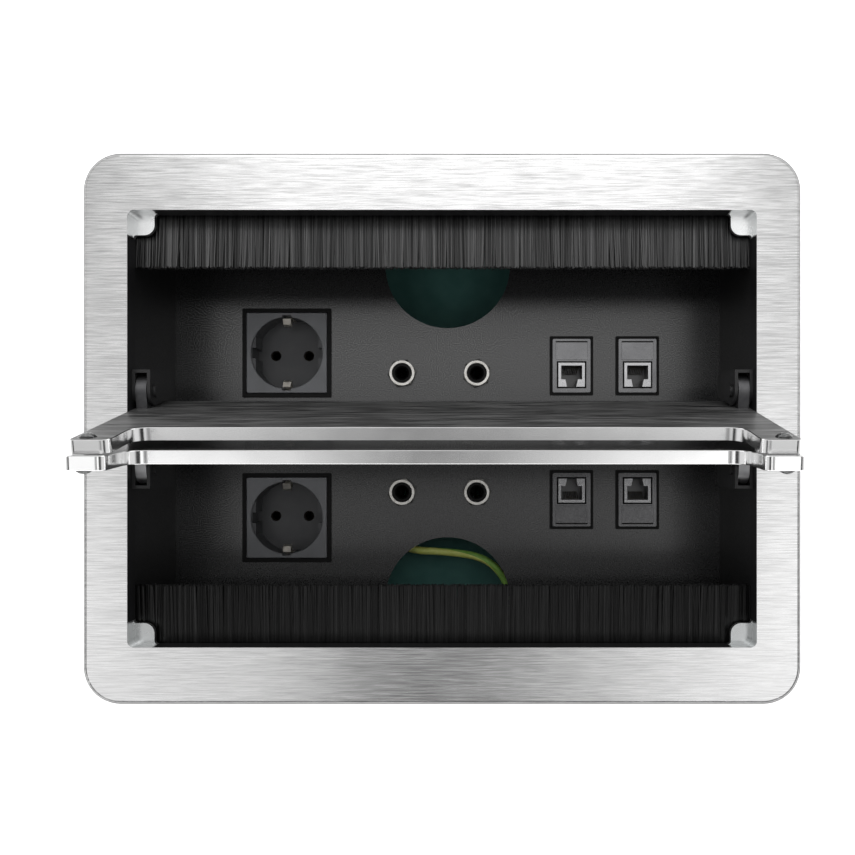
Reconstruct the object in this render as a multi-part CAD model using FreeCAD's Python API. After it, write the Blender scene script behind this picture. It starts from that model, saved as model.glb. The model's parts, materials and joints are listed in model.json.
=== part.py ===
import FreeCAD, Part
import math
import os

from FreeCAD import Vector

# Desk socket box, sunk into a table top, with two lids that open back to back over a well of sockets.
# Millimetres. The origin is the centre of the opening on the table plane, where the bezel's underside
# rests: +X runs along the box, +Y to the far side and +Z up. Both lids are modelled open.

# Extra depth of the cutting tools, so that a cut leaves no skin, and what counts as the same place
overcut = 1.0
tolerance = 1e-6

# Bezel frame
opening_length = 302.0
opening_width = 210.0
opening_corner_radius = 3.0
bezel_border_ends = 21.5
bezel_border_sides = 27.5
bezel_thickness = 4.0
bezel_corner_radius = 18.0
bezel_edge_round = 2.0
skirt_corner_radius = 6.0
lug_size = 10.3
lug_thickness = 2.7
lug_corner_radius = 5.0
lug_fillet_radius = 1.5

# Lids
lid_thickness = 6.0
lid_end_gap = 0.5
lid_tip_gap = 0.5
lid_seam = 5.8
lid_edge_chamfer = 0.25
hinge_edge_flat = 0.5
cable_slot_width = 28.5
ear_width = 16.8
ear_root_radius = 8.0
ear_tip_radius = 4.0
ear_corner_radius = 2.5
far_open_angle = 102.3
near_open_angle = 84.9
bumper_inset = 6.5
bumper_diameter = 7.5
bumper_height = 2.0
bumper_gap = 0.3

# Hinges
pivot_offset = 19.0
pivot_drop = 7.5
pin_diameter = 4.0
pin_head_diameter = 6.5
pin_head_height = 1.2
pin_seat_clearance = 0.02
pin_running_clearance = 0.06
arm_thickness = 5.3
arm_width = 15.5
arm_side_play = 0.25
arm_foot_length = 7.5
arm_foot_thickness = 3.0
tenon_inset = 1.5
tenon_height = 1.5
bracket_gauge = 1.5
bracket_drop = 28.0
bracket_eye_gap = 0.7
packer_width = 9.0
packer_top_gap = 0.5
stop_gap = 0.3

# Sheet metal
wall_gauge = 1.2
end_wall_setback = 2.0
panel_gauge = 1.5
well_depth = 80.0
wiring_depth = 48.0
wall_flange_width = 9.0
flange_corner_relief = 11.0
corner_tab_width = 13.0
corner_tab_relief = 1.0
panel_flange_height = 13.0
panel_end_flange_relief = 16.0
panel_tab_width = 30.0
panel_tab_spacing = 100.0
cutout_radius = 35.0
cutout_reach = 58.8
fixing_hole_diameter = 5.0
fixing_hole_spacing = 172.0
fixing_hole_drop = 17.0

# Brush strips
brush_setback = 1.0
holder_depth = 8.0
holder_height = 8.0
holder_end_gap = 0.5
bristle_thickness = 3.0
bristle_root = 4.0
far_bristle_reach = 25.0
near_bristle_reach = 28.0

# Fasteners
screw_diameter = 3.0
small_screw_diameter = 2.5
screw_head_ratio = 1.8
screw_head_height_ratio = 0.7
screw_thread_clearance = 0.05
screw_hole_clearance = 0.2
frame_screw_length = 7.0
brush_screw_engagement = 3.0
arm_screw_engagement = 3.5
frame_screw_end_spacing = 75.0
frame_screw_side_spacing = 100.0
brush_screw_spacing = 80.0
rivet_diameter = 3.2
rivet_head_diameter = 6.0
rivet_head_height = 1.0
rivet_tail_diameter = 4.6
rivet_tail_height = 1.3
rivet_hole_clearance = 0.05
panel_rivet_spacing = 80.0
corner_rivet_spacing = 38.0
bracket_rivet_spacing = 10.0
bracket_rivet_edge = 4.2

# Clip-in modules: what the mains sockets and the data sockets share
module_gap = 0.2
sleeve_wall = 0.8
sleeve_depth = 7.0
surround_height = 0.8
surround_corner_radius = 0.6
cutout_clearance = 0.1
hook_reach = 0.8
hook_height = 2.5
hook_width = 8.0

# Earthed mains sockets
power_end_margin = 60.7
far_power_y = 44.8
near_power_y = 47.8
power_face_size = 45.0
power_face_height = 1.6
power_face_depth = 8.0
power_face_radius = 0.8
power_face_round = 0.5
power_border = 2.5
recess_diameter = 40.2
recess_depth = 17.5
recess_ledge_depth = 1.2
recess_rim_chamfer = 0.4
recess_floor = 2.5
recess_flats = 35.0
recess_wall = 1.6
guide_notch_width = 6.0
guide_notch_reach = 0.6
pin_pitch = 19.0
pin_hole_diameter = 6.0
contact_bore = 4.9
contact_wall = 0.6
contact_terminal_size = 7.0
contact_terminal_height = 6.0
contact_bore_end = 0.8
clip_width = 4.4
clip_gauge = 0.8
clip_bulge = 4.8
clip_profile = ((0.25, 0.7), (0.85, 2.2), (1.0, 4.2), (0.0, 8.6))
clip_slot_clearance = 0.3
housing_wall = 1.5
housing_floor = 1.8
housing_depth = 38.0
housing_clearance = 0.1
wire_entry_drop = 24.0
wire_entry_clearance = 0.3

# Audio jacks
jack_middle_x = -4.55
jack_pitch = 41.9
jack_y = 33.4
jack_bore = 6.5
jack_bore_depth = 24.0
jack_lead_in = 0.8
bushing_diameter = 11.2
bushing_height = 2.6
bushing_clearance = 0.2
jack_length = 14.0
jack_width = 16.0
jack_depth = 27.0
nut_across_flats = 14.0
nut_height = 3.0
nut_chamfer_radius = 7.0
nut_chamfer_height = 0.7
nut_turns = (8.0, 21.0, 14.0, 3.0)
spring_gauge = 0.4
spring_width = 2.4
spring_offset = 5.2
spring_reach = 2.7
spring_tail = 4.0
spring_bend_height = 4.0
spring_lead_height = 2.4
spring_lead_reach = 1.2
spring_levels = (9.0, 17.0)
spring_slot_clearance = 0.3

# Data sockets
data_end_margin = 62.9
data_pitch = 37.0
data_y = 37.6
data_plate_length = 21.2
data_plate_width = 30.0
data_plate_height = 1.4
data_plate_depth = 6.0
data_plate_radius = 0.8
data_border = 1.6
label_length = 17.6
label_width = 9.6
label_height = 0.8
label_pocket = 0.6
label_offset = 8.2
label_notch = 0.7
data_jack_length = 14.8
data_jack_width = 13.4
data_jack_offset = -5.1
data_jack_proud = 0.3
data_jack_front_depth = 7.0
data_jack_depth = 30.0
data_jack_inset = 0.4
data_jack_clearance = 0.1
window_groove_width = 0.9
window_groove_depth = 2.0
port_length = 11.8
port_width = 7.8
port_depth = 13.0
port_top_wall = 1.5
latch_length = 7.0
latch_tip_length = 4.9
contact_count = 8
contact_pitch = 1.02
contact_diameter = 0.45
contact_wall_gap = 0.3
contact_slant = 3.4
contact_front = 3.0
contact_back = 11.5

# Earth wire and its terminal on the near wall
wire_diameter = 4.3
wire_bend_share = 0.45
earth_x = 62.0
earth_drop = 19.0
stud_diameter = 5.0
stud_length = 14.0
stud_head_diameter = 9.0
stud_head_height = 1.2
stud_clearance = 0.1
terminal_gauge = 1.2
terminal_ring_diameter = 10.5
terminal_reach = 14.0
barrel_length = 9.0
barrel_wall = 0.8
barrel_clearance = 0.1
earth_nut_flats = 8.0
earth_nut_height = 4.0
wire_from_socket = ((18.3, 0.0, 0.0), (32.3, 0.0, 0.0), (48.3, -9.7, 4.5))
wire_across = ((-24.0, -67.5, -14.0), (1.0, -68.0, -11.0), (22.0, -71.5, -11.0))
wire_to_terminal = ((-28.8, 26.95, 6.0), (-25.5, 11.45, 2.5), (-19.5, 0.0, 0.0), (-7.0, 0.0, 0.0))

# Sizes that follow from the ones above
bezel_length = opening_length + 2 * bezel_border_ends
bezel_width = opening_width + 2 * bezel_border_sides
lid_under = bezel_thickness - lid_thickness
lid_half_length = opening_length / 2 - lid_end_gap
lid_tip = opening_width / 2 - lid_tip_gap
lid_set_back = opening_width / 2 - cable_slot_width
hinge_edge_round = lid_thickness - hinge_edge_flat
lug_top = lid_under - bumper_height - bumper_gap
skirt_bottom = lug_top - lug_thickness
pivot_z = lid_under - pivot_drop
end_wall_inner = opening_length / 2 + end_wall_setback
end_wall_outer = end_wall_inner + wall_gauge
long_wall_inner = opening_width / 2 + brush_setback + holder_depth
long_wall_outer = long_wall_inner + wall_gauge
panel_top = bezel_thickness - well_depth
panel_under = panel_top - panel_gauge
rim_level = panel_top - wiring_depth
bracket_outer = opening_length / 2
arm_outer = bracket_outer - bracket_gauge - arm_side_play
arm_inner = arm_outer - arm_thickness
arm_middle = (arm_outer + arm_inner) / 2
bracket_inner = arm_inner - arm_side_play - bracket_gauge
arm_screw_y = pivot_offset - arm_width / 2 - arm_foot_length / 2
bristle_level = skirt_bottom - holder_height / 2
rivet_grip_corner = 2 * wall_gauge
rivet_grip_panel = wall_gauge + panel_gauge
rivet_grip_bracket = wall_gauge + end_wall_setback + bracket_gauge
panel_rivet_level = panel_under - panel_flange_height / 2
power_x = power_end_margin - opening_length / 2
power_rows = {"far": far_power_y, "near": near_power_y}
jack_columns = (jack_middle_x - jack_pitch / 2, jack_middle_x + jack_pitch / 2)
data_middle_x = opening_length / 2 - data_end_margin
data_columns = (data_middle_x - data_pitch / 2, data_middle_x + data_pitch / 2)
recess_bottom = power_face_height - recess_depth
cup_bottom = recess_bottom - recess_floor
cup_radius = recess_diameter / 2 + recess_wall
housing_inside = 2 * (cup_radius + housing_clearance)
jack_underside = -panel_gauge - jack_depth
earth_level = panel_top - earth_drop
barrel_radius = wire_diameter / 2 + barrel_clearance + barrel_wall

sides = {"far": 1, "near": -1}
ends = {"left": -1, "right": 1}
up = Vector(0, 0, 1)


# Shape helpers

def outline(start, *steps):
    """Closed wire in the XY plane. A step is the end of a line, or the middle and end of an arc."""
    edges = []
    here = Vector(*start)
    for step in steps + (start,):
        if isinstance(step[0], tuple):
            middle = Vector(*step[0])
            there = Vector(*step[1])
            edges.append(Part.Arc(here, middle, there).toShape())
        else:
            there = Vector(*step)
            if here.distanceToPoint(there) < tolerance:
                continue
            edges.append(Part.LineSegment(here, there).toShape())
        here = there
    return Part.Wire(edges)


def prism(wire, low, high):
    """Solid over a wire in the XY plane, from one level to another."""
    face = Part.Face(wire)
    face.translate(Vector(0, 0, low))
    return face.extrude(Vector(0, 0, high - low))


def along_x(shape):
    """Turn a shape drawn in X and Y so that it lies in Y and Z, with its height along X."""
    turned = shape.copy()
    turned.rotate(Vector(0, 0, 0), Vector(1, 1, 1), 120)
    return turned


def rounded_slab(length, width, radius, low, high):
    """Flat block about the Z axis with rounded upright corners."""
    x = length / 2
    y = width / 2
    bow = radius * (1 - math.sqrt(0.5))
    wire = outline(
        (-x + radius, -y),
        (x - radius, -y),
        ((x - bow, -y + bow), (x, -y + radius)),
        (x, y - radius),
        ((x - bow, y - bow), (x - radius, y)),
        (-x + radius, y),
        ((-x + bow, y - bow), (-x, y - radius)),
        (-x, -y + radius),
        ((-x + bow, -y + bow), (-x + radius, -y)),
    )
    return prism(wire, low, high)


def bar(x_span, y_span, z_span):
    """Box between two limits on each axis."""
    corner = Vector(min(x_span), min(y_span), min(z_span))
    sizes = [abs(span[1] - span[0]) for span in (x_span, y_span, z_span)]
    return Part.makeBox(sizes[0], sizes[1], sizes[2], corner)


def block(length, width, low, high, x=0.0, y=0.0):
    """Upright box about a vertical axis."""
    return bar((x - length / 2, x + length / 2), (y - width / 2, y + width / 2), (low, high))


def rod(radius, start, direction, length):
    """Cylinder from a point along a direction."""
    return Part.makeCylinder(radius, length, start, direction)


def hexagon(across_flats, low, high):
    """Hexagonal prism about the Z axis."""
    radius = across_flats / math.sqrt(3)
    corners = []
    for index in range(6):
        angle = math.radians(60 * index)
        corners.append((radius * math.cos(angle), radius * math.sin(angle)))
    return prism(outline(*corners), low, high)


def strip(points, gauge, width):
    """Bent strip of sheet: a line in the YZ plane, thickened by the gauge and as wide as given in X."""
    line = [Vector(y, z, 0) for y, z in points]
    left = []
    right = []
    for index, point in enumerate(line):
        before = (point - line[index - 1]).normalize() if index > 0 else None
        after = (line[index + 1] - point).normalize() if index < len(line) - 1 else None
        first = before or after
        second = after or before
        across = Vector(-first.y - second.y, first.x + second.x, 0).normalize()
        reach = gauge / 2 / across.dot(Vector(-first.y, first.x, 0))
        left.append(point + across * reach)
        right.append(point - across * reach)
    corners = [(corner.x, corner.y) for corner in left + right[::-1]]
    return along_x(prism(outline(*corners), -width / 2, width / 2))


def mirror_x(shape):
    return shape.mirror(Vector(0, 0, 0), Vector(1, 0, 0))


def mirror_y(shape):
    return shape.mirror(Vector(0, 0, 0), Vector(0, 1, 0))


def to_corner(shape, end, side):
    """Copy of a shape drawn at the far right corner, mirrored to the end and side asked for."""
    copy = shape.copy()
    if ends[end] < 0:
        copy = mirror_x(copy)
    if sides[side] < 0:
        copy = mirror_y(copy)
    return copy


def opened(shape, side):
    """Swing a piece of the far lid, drawn closed, to the open place of the lid on the side asked for."""
    copy = shape.copy()
    angle = far_open_angle
    if sides[side] < 0:
        copy = mirror_y(copy)
        angle = -near_open_angle
    copy.rotate(Vector(0, sides[side] * pivot_offset, pivot_z), Vector(1, 0, 0), angle)
    return copy


def on_panel(shape, x, y, side):
    """Place a module drawn about the Z axis on the panel, turned half round on the near side."""
    copy = shape.copy()
    if sides[side] < 0:
        copy.rotate(Vector(0, 0, 0), up, 180)
    copy.translate(Vector(x, sides[side] * y, panel_top))
    return copy


def edges_at(shape, level):
    """Edges that lie wholly at one height."""
    found = []
    for edge in shape.Edges:
        box = edge.BoundBox
        if abs(box.ZMin - level) < tolerance and abs(box.ZMax - level) < tolerance:
            found.append(edge)
    return found


def save(name, shapes):
    """Write one node: a single solid, or a group of separate solids."""
    shape = Part.makeCompound(shapes) if isinstance(shapes, list) else shapes
    shape.exportStep(f"parts/{name}.step")


# Fasteners

def screw(diameter, length):
    """Pan head screw along +Z, its head below the XY plane."""
    head = Part.makeCylinder(
        diameter * screw_head_ratio / 2,
        diameter * screw_head_height_ratio,
        Vector(0, 0, -diameter * screw_head_height_ratio),
    )
    return head.fuse(Part.makeCylinder(diameter / 2, length)).removeSplitter()


def aim(shape, point, direction):
    """Turn a shape drawn along +Z to a direction and move it to a point."""
    copy = shape.copy()
    copy.Placement = FreeCAD.Placement(point, FreeCAD.Rotation(up, direction))
    return copy


def thread_hole(radius, height):
    """Tool for the hole through a nut that stands on the XY plane."""
    return Part.makeCylinder(radius, height + 2 * overcut, Vector(0, 0, -overcut))


def rivet(grip):
    """Blind rivet along +Z through sheets that start at the XY plane."""
    head = Part.makeCylinder(rivet_head_diameter / 2, rivet_head_height, Vector(0, 0, -rivet_head_height))
    shank = Part.makeCylinder(rivet_diameter / 2, grip)
    tail = Part.makeCylinder(rivet_tail_diameter / 2, rivet_tail_height, Vector(0, 0, grip))
    return head.fuse([shank, tail]).removeSplitter()


def rivet_holes(shape, spots, depth):
    """Drill a shape for the rivets at a list of points and directions."""
    radius = rivet_diameter / 2 + rivet_hole_clearance
    for point, direction in spots:
        shape = shape.cut(rod(radius, point - direction * overcut, direction, depth + 2 * overcut))
    return shape


def corner_rivet_spots():
    """Outer points and inward directions of the rivets in the corner tabs."""
    middle = (rim_level + skirt_bottom) / 2
    x = end_wall_outer - corner_tab_width / 2
    y = long_wall_outer + wall_gauge
    spots = []
    for end in ends.values():
        for side in sides.values():
            for step in (-1, 0, 1):
                point = Vector(end * x, side * y, middle + step * corner_rivet_spacing)
                spots.append((point, Vector(0, -side, 0)))
    return spots


def panel_end_rivet_spots():
    """Rivets through the end walls into the panel's end flanges."""
    spots = []
    for end in ends.values():
        for step in (-1, 0, 1):
            point = Vector(end * end_wall_outer, step * panel_rivet_spacing, panel_rivet_level)
            spots.append((point, Vector(-end, 0, 0)))
    return spots


def panel_tab_rivet_spots():
    """Rivets through the long walls into the panel's tabs."""
    spots = []
    for side in sides.values():
        for end in ends.values():
            point = Vector(end * panel_tab_spacing, side * long_wall_outer, panel_rivet_level)
            spots.append((point, Vector(0, -side, 0)))
    return spots


def bracket_rivet_spots():
    """Rivets through the end walls into the hinge brackets."""
    y = pivot_offset + arm_width / 2 + bracket_eye_gap - rivet_tail_diameter / 2
    spots = []
    for end in ends.values():
        for side in sides.values():
            for step in (0, 1):
                level = pivot_z - bracket_drop + bracket_rivet_edge + step * bracket_rivet_spacing
                point = Vector(end * end_wall_outer, side * y, level)
                spots.append((point, Vector(-end, 0, 0)))
    return spots


def blind_rivets():
    """Every rivet of the box."""
    groups = (
        (corner_rivet_spots(), rivet_grip_corner),
        (panel_end_rivet_spots(), rivet_grip_panel),
        (panel_tab_rivet_spots(), rivet_grip_panel),
        (bracket_rivet_spots(), rivet_grip_bracket),
    )
    rivets = []
    for spots, grip in groups:
        rivets += [aim(rivet(grip), point, direction) for point, direction in spots]
    return rivets


def end_frame_screw_spots():
    """Points under the end walls' flanges where screws go up into the bezel."""
    x = (end_wall_outer + end_wall_inner + wall_flange_width) / 2
    spots = []
    for end in ends.values():
        for step in (-1, 0, 1):
            spots.append(Vector(end * x, step * frame_screw_end_spacing, skirt_bottom - wall_gauge))
    return spots


def side_frame_screw_spots():
    """Points under the long walls' flanges where screws go up into the bezel."""
    y = (long_wall_outer + long_wall_inner + wall_flange_width) / 2
    spots = []
    for side in sides.values():
        for step in (-1, 0, 1):
            spots.append(Vector(step * frame_screw_side_spacing, side * y, skirt_bottom - wall_gauge))
    return spots


def frame_screws():
    """Screws that hang the walls from the bezel."""
    upright = screw(screw_diameter, frame_screw_length)
    spots = end_frame_screw_spots() + side_frame_screw_spots()
    return [aim(upright, point, up) for point in spots]


def brush_screw_spots():
    """Outer points and inward directions of the screws in the brush holders."""
    spots = []
    for side in sides.values():
        for step in (-1.5, -0.5, 0.5, 1.5):
            point = Vector(step * brush_screw_spacing, side * long_wall_outer, bristle_level)
            spots.append((point, Vector(0, -side, 0)))
    return spots


def brush_screws():
    level = screw(small_screw_diameter, wall_gauge + brush_screw_engagement)
    return [aim(level, point, direction) for point, direction in brush_screw_spots()]


# Bezel

def bezel_lug():
    """Corner lug at the far right corner of the opening, with a rounded tip and filleted roots."""
    size = lug_size
    tip = lug_corner_radius
    root = lug_fillet_radius
    overlap = opening_corner_radius
    tip_bow = tip * (1 - math.sqrt(0.5))
    root_bow = root * (1 - math.sqrt(0.5))
    wire = outline(
        (-overlap, -overlap),
        (size + root, -overlap),
        (size + root, 0.0),
        ((size + root_bow, root_bow), (size, root)),
        (size, size - tip),
        ((size - tip_bow, size - tip_bow), (size - tip, size)),
        (root, size),
        ((root_bow, size + root_bow), (0.0, size + root)),
        (-overlap, size + root),
    )
    lug = prism(wire, skirt_bottom, lug_top)
    lug.rotate(Vector(0, 0, 0), up, 180)
    lug.translate(Vector(opening_length / 2, opening_width / 2, 0))
    return lug


def bezel_frame():
    """Flange that rests on the table, with a skirt that hangs in the table's cut-out."""
    flange = rounded_slab(bezel_length, bezel_width, bezel_corner_radius, 0, bezel_thickness)
    flange = flange.makeFillet(bezel_edge_round, edges_at(flange, bezel_thickness))
    skirt = rounded_slab(
        2 * (end_wall_inner + wall_flange_width),
        2 * (long_wall_inner + wall_flange_width),
        skirt_corner_radius,
        skirt_bottom,
        0,
    )
    opening = rounded_slab(
        opening_length,
        opening_width,
        opening_corner_radius,
        skirt_bottom - overcut,
        bezel_thickness + overcut,
    )
    frame = flange.fuse(skirt).cut(opening)
    frame = frame.fuse([to_corner(bezel_lug(), end, side) for end in ends for side in sides])
    radius = screw_diameter / 2 + screw_thread_clearance
    for point in end_frame_screw_spots() + side_frame_screw_spots():
        frame = frame.cut(rod(radius, point, up, frame_screw_length + screw_thread_clearance))
    return frame.removeSplitter()


# Walls and panel

def end_wall(end):
    """End wall with a top flange under the bezel and two tabs around the long walls."""
    half_width = long_wall_outer + wall_gauge
    wall = bar((end_wall_inner, end_wall_outer), (-half_width, half_width), (rim_level, skirt_bottom))
    tab_top = skirt_bottom - wall_gauge - corner_tab_relief
    relief = bar(
        (end_wall_inner, end_wall_outer), (long_wall_outer, half_width), (tab_top, skirt_bottom)
    )
    tab = bar(
        (end_wall_outer - corner_tab_width, end_wall_outer),
        (long_wall_outer, half_width),
        (rim_level, tab_top),
    )
    flange_half_width = long_wall_inner - flange_corner_relief
    flange = bar(
        (end_wall_inner, end_wall_inner + wall_flange_width),
        (-flange_half_width, flange_half_width),
        (skirt_bottom - wall_gauge, skirt_bottom),
    )
    wall = wall.cut([relief, mirror_y(relief)])
    wall = wall.fuse([tab, mirror_y(tab), flange])
    for step in (-0.5, 0.5):
        start = Vector(end_wall_inner - overcut, step * fixing_hole_spacing, -fixing_hole_drop)
        wall = wall.cut(rod(fixing_hole_diameter / 2, start, Vector(1, 0, 0), wall_gauge + 2 * overcut))
    if ends[end] < 0:
        wall = mirror_x(wall)
    wall = rivet_holes(wall, corner_rivet_spots(), rivet_grip_corner)
    wall = rivet_holes(wall, panel_end_rivet_spots(), rivet_grip_panel)
    wall = rivet_holes(wall, bracket_rivet_spots(), rivet_grip_bracket)
    radius = screw_diameter / 2 + screw_hole_clearance
    for point in end_frame_screw_spots():
        wall = wall.cut(rod(radius, point - up * overcut, up, wall_gauge + 2 * overcut))
    return wall.removeSplitter()


def long_wall(side):
    """Long wall with a top flange under the bezel."""
    wall = bar(
        (-end_wall_inner, end_wall_inner), (long_wall_inner, long_wall_outer), (rim_level, skirt_bottom)
    )
    flange_half_length = end_wall_inner - flange_corner_relief
    flange = bar(
        (-flange_half_length, flange_half_length),
        (long_wall_inner, long_wall_inner + wall_flange_width),
        (skirt_bottom - wall_gauge, skirt_bottom),
    )
    wall = wall.fuse(flange)
    if sides[side] < 0:
        wall = mirror_y(wall)
        stud_hole = stud_diameter / 2 + stud_clearance
        start = Vector(earth_x, -long_wall_outer - overcut, earth_level)
        wall = wall.cut(rod(stud_hole, start, Vector(0, 1, 0), wall_gauge + 2 * overcut))
    wall = rivet_holes(wall, corner_rivet_spots(), rivet_grip_corner)
    wall = rivet_holes(wall, panel_tab_rivet_spots(), rivet_grip_panel)
    screw_hole = screw_diameter / 2 + screw_hole_clearance
    for point in side_frame_screw_spots():
        wall = wall.cut(rod(screw_hole, point - up * overcut, up, wall_gauge + 2 * overcut))
    small_hole = small_screw_diameter / 2 + screw_hole_clearance
    for point, direction in brush_screw_spots():
        wall = wall.cut(rod(small_hole, point - direction * overcut, direction, wall_gauge + 2 * overcut))
    return wall.removeSplitter()


def socket_panel():
    """Panel at the bottom of the well, with flanges bent down to the walls."""
    panel = block(2 * end_wall_inner, 2 * long_wall_inner, panel_under, panel_top)
    flange_low = panel_under - panel_flange_height
    flange_half_width = long_wall_inner - panel_end_flange_relief
    flange = bar(
        (end_wall_inner - panel_gauge, end_wall_inner),
        (-flange_half_width, flange_half_width),
        (flange_low, panel_top),
    )
    tab = bar(
        (panel_tab_spacing - panel_tab_width / 2, panel_tab_spacing + panel_tab_width / 2),
        (long_wall_inner - panel_gauge, long_wall_inner),
        (flange_low, panel_top),
    )
    tabs = [to_corner(tab, end, side) for end in ends for side in sides]
    panel = panel.fuse([flange, mirror_x(flange)] + tabs)
    panel = rivet_holes(panel, panel_end_rivet_spots(), rivet_grip_panel)
    panel = rivet_holes(panel, panel_tab_rivet_spots(), rivet_grip_panel)
    panel = panel.cut(panel_openings())
    return panel.removeSplitter()


def panel_openings():
    """Everything that is punched out of the panel."""
    low = -panel_gauge - overcut
    high = overcut
    centre = cutout_reach + cutout_radius
    round_end = Part.makeCylinder(cutout_radius, high - low, Vector(0, centre, low + panel_top))
    straight = bar(
        (-cutout_radius, cutout_radius),
        (centre, long_wall_inner + overcut),
        (low + panel_top, high + panel_top),
    )
    cable_cutout = round_end.fuse(straight)
    openings = [cable_cutout, mirror_y(cable_cutout)]
    growth = 2 * (module_gap + sleeve_wall + cutout_clearance)
    power_hole = block(power_face_size + growth, power_face_size + growth, low, high)
    data_hole = block(data_plate_length + growth, data_plate_width + growth, low, high)
    jack_hole = Part.makeCylinder(bushing_diameter / 2 + bushing_clearance, high - low, Vector(0, 0, low))
    for side in sides:
        openings.append(on_panel(power_hole, power_x, power_rows[side], side))
        openings += [on_panel(jack_hole, x, jack_y, side) for x in jack_columns]
        openings += [on_panel(data_hole, x, data_y, side) for x in data_columns]
    return openings


# Lids and hinges

def lid():
    """Far lid, drawn closed: a plate with two ears, and an edge rounded to turn past the other lid."""
    x = lid_half_length
    near = lid_seam / 2
    inner = x - ear_width
    corner_bow = ear_corner_radius * (1 - math.sqrt(0.5))
    tip_bow = ear_tip_radius * (1 - math.sqrt(0.5))
    root_bow = ear_root_radius * (1 - math.sqrt(0.5))
    set_back = lid_set_back
    tip = lid_tip
    wire = outline(
        (-x, near),
        (x, near),
        (x, tip - ear_corner_radius),
        ((x - corner_bow, tip - corner_bow), (x - ear_corner_radius, tip)),
        (inner + ear_tip_radius, tip),
        ((inner + tip_bow, tip - tip_bow), (inner, tip - ear_tip_radius)),
        (inner, set_back + ear_root_radius),
        ((inner - root_bow, set_back + root_bow), (inner - ear_root_radius, set_back)),
        (-inner + ear_root_radius, set_back),
        ((-inner + root_bow, set_back + root_bow), (-inner, set_back + ear_root_radius)),
        (-inner, tip - ear_tip_radius),
        ((-inner - tip_bow, tip - tip_bow), (-inner - ear_tip_radius, tip)),
        (-x + ear_corner_radius, tip),
        ((-x + corner_bow, tip - corner_bow), (-x, tip - ear_corner_radius)),
    )
    plate = prism(wire, lid_under, bezel_thickness)
    rims = edges_at(plate, lid_under) + edges_at(plate, bezel_thickness)
    plate = plate.makeChamfer(lid_edge_chamfer, rims)
    centre = Vector(-x - overcut, near + hinge_edge_round, bezel_thickness - hinge_edge_round)
    corner = bar(
        (-x - overcut, x + overcut), (near - overcut, centre.y), (centre.z, bezel_thickness + overcut)
    )
    edge = rod(hinge_edge_round, centre, Vector(1, 0, 0), 2 * (x + overcut))
    plate = plate.cut(corner.cut(edge))
    pocket = arm_tenon(screw_thread_clearance)
    hole = rod(
        screw_diameter / 2 + screw_thread_clearance,
        Vector(arm_middle, arm_screw_y, lid_under),
        up,
        arm_screw_engagement + screw_thread_clearance,
    )
    plate = plate.cut([pocket, mirror_x(pocket), hole, mirror_x(hole)])
    return plate


def arm_tenon(clearance):
    """Tongue on top of a hinge arm that keys it into the lid, or its pocket with a clearance."""
    half_width = arm_width / 2 - tenon_inset + clearance
    return bar(
        (arm_inner + tenon_inset - clearance, arm_outer - tenon_inset + clearance),
        (pivot_offset - half_width, pivot_offset + half_width),
        (lid_under, lid_under + tenon_height + clearance),
    )


def hinge_arm():
    """Arm under the lid at the far right, drawn closed, with an eye round the pin and a screwed foot."""
    radius = arm_width / 2
    wire = outline(
        (pivot_offset - radius, pivot_z),
        ((pivot_offset, pivot_z - radius), (pivot_offset + radius, pivot_z)),
        (pivot_offset + radius, lid_under),
        (pivot_offset - radius - arm_foot_length, lid_under),
        (pivot_offset - radius - arm_foot_length, lid_under - arm_foot_thickness),
        (pivot_offset - radius, lid_under - arm_foot_thickness),
    )
    arm = along_x(prism(wire, arm_inner, arm_outer)).fuse(arm_tenon(0.0))
    eye = rod(
        pin_diameter / 2 + pin_running_clearance,
        Vector(arm_inner - overcut, pivot_offset, pivot_z),
        Vector(1, 0, 0),
        arm_thickness + 2 * overcut,
    )
    hole = rod(
        screw_diameter / 2 + screw_hole_clearance,
        Vector(arm_middle, arm_screw_y, lid_under - arm_foot_thickness - overcut),
        up,
        arm_foot_thickness + 2 * overcut,
    )
    return arm.cut([eye, hole]).removeSplitter()


def arm_screw():
    """Screw at the far right, drawn closed, up through the arm's foot into the lid."""
    point = Vector(arm_middle, arm_screw_y, lid_under - arm_foot_thickness)
    return aim(screw(screw_diameter, arm_foot_thickness + arm_screw_engagement), point, up)


def lid_bumper():
    """Clear dome under the ear at the far right, drawn closed, over the bezel's lug."""
    radius = (bumper_diameter ** 2 / 4 + bumper_height ** 2) / (2 * bumper_height)
    x = opening_length / 2 - bumper_inset
    y = opening_width / 2 - bumper_inset
    ball = Part.makeSphere(radius, Vector(x, y, lid_under - bumper_height + radius))
    return ball.common(block(bumper_diameter, bumper_diameter, lid_under - bumper_height, lid_under, x, y))


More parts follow.
